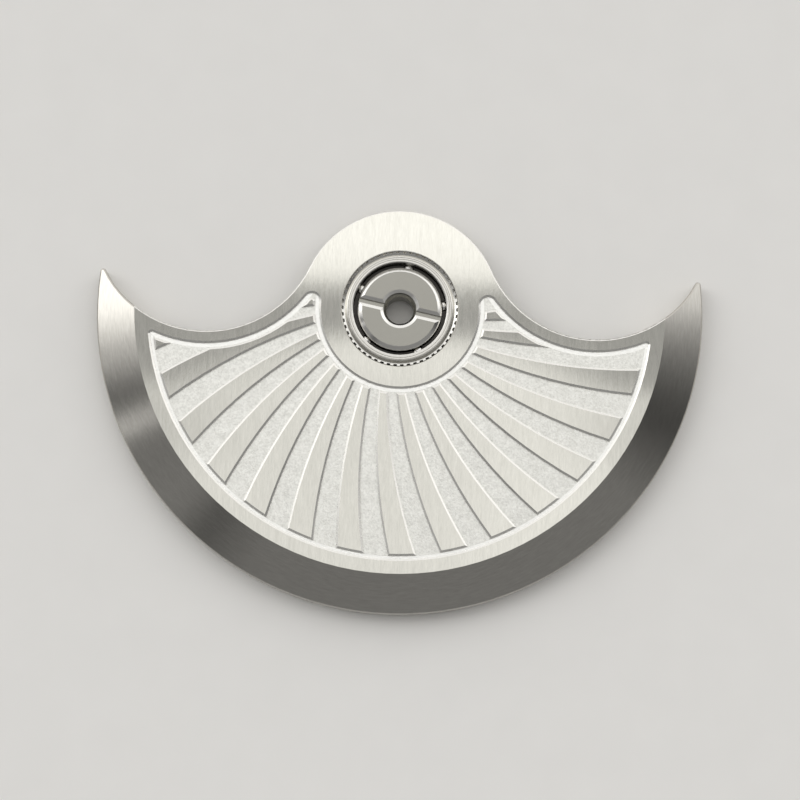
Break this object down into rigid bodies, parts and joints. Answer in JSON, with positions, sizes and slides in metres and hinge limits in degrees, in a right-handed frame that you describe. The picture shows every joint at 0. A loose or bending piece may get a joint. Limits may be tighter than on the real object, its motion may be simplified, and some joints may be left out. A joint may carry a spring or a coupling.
{
  "type": "automatic watch rotor",
  "caption": "Winding rotor for an automatic watch: a half-moon plate with a fan of raised strips, a heavy bevelled rim and a ball-bearing hub with a drive gear.",
  "frame": {"origin": "on the rotor's axis, in the plane of the inner core's face that seats on the movement", "axes": "+Z along the rotor's axis, out of the decorated face; the weight hangs towards -Y; +X to the right in the picture"},
  "size_m": [0.0264, 0.0175, 0.0016],
  "materials": {
    "plate": "straight-brushed rhodium plate with a frosted pocket",
    "rim": "lathe-turned heavy metal",
    "gear": "matte hobbed steel",
    "race": "polished hardened steel",
    "cone": "fine-ground steel with polished bevels",
    "cage": "blackened steel",
    "ball": "polished steel"
  },
  "bodies": {
    "hub": {"inner_core": "race", "upper_cone": "cone"},
    "rotor": {"rotor_plate": "plate", "heavy_rim": "rim", "drive_gear": "gear", "outer_race": "race"},
    "cage": {"ball_cage": "cage"},
    "ball_one": {"ball_1": "ball"},
    "ball_two": {"ball_2": "ball"},
    "ball_three": {"ball_3": "ball"},
    "ball_four": {"ball_4": "ball"},
    "ball_five": {"ball_5": "ball"}
  },
  "joints": [
    {"name": "rotor_spin", "type": "hinge", "parent": "hub", "child": "rotor", "pos_m": [0, 0, 0], "axis": [0, 0, 1], "continuous": true},
    {"name": "cage_spin", "type": "hinge", "parent": "hub", "child": "cage", "pos_m": [0, 0, 0], "axis": [0, 0, 1], "continuous": true},
    {"name": "ball_one_spin", "type": "hinge", "parent": "cage", "child": "ball_one", "pos_m": [0.00191, 0.00025, 0.0008], "axis": [0, 0, 1], "continuous": true},
    {"name": "ball_two_spin", "type": "hinge", "parent": "cage", "child": "ball_two", "pos_m": [0.00036, 0.0019, 0.0008], "axis": [0, 0, 1], "continuous": true},
    {"name": "ball_three_spin", "type": "hinge", "parent": "cage", "child": "ball_three", "pos_m": [-0.00169, 0.00092, 0.0008], "axis": [0, 0, 1], "continuous": true},
    {"name": "ball_four_spin", "type": "hinge", "parent": "cage", "child": "ball_four", "pos_m": [-0.0014, -0.00133, 0.0008], "axis": [0, 0, 1], "continuous": true},
    {"name": "ball_five_spin", "type": "hinge", "parent": "cage", "child": "ball_five", "pos_m": [0.00083, -0.00174, 0.0008], "axis": [0, 0, 1], "continuous": true}
  ],
  "couplings": [
    {"joint": "cage_spin", "follows": "rotor_spin", "ratio": 0.5458},
    {"joint": "ball_one_spin", "follows": "rotor_spin", "ratio": 5.4131},
    {"joint": "ball_two_spin", "follows": "rotor_spin", "ratio": 5.4131},
    {"joint": "ball_three_spin", "follows": "rotor_spin", "ratio": 5.4131},
    {"joint": "ball_four_spin", "follows": "rotor_spin", "ratio": 5.4131},
    {"joint": "ball_five_spin", "follows": "rotor_spin", "ratio": 5.4131}
  ]
}
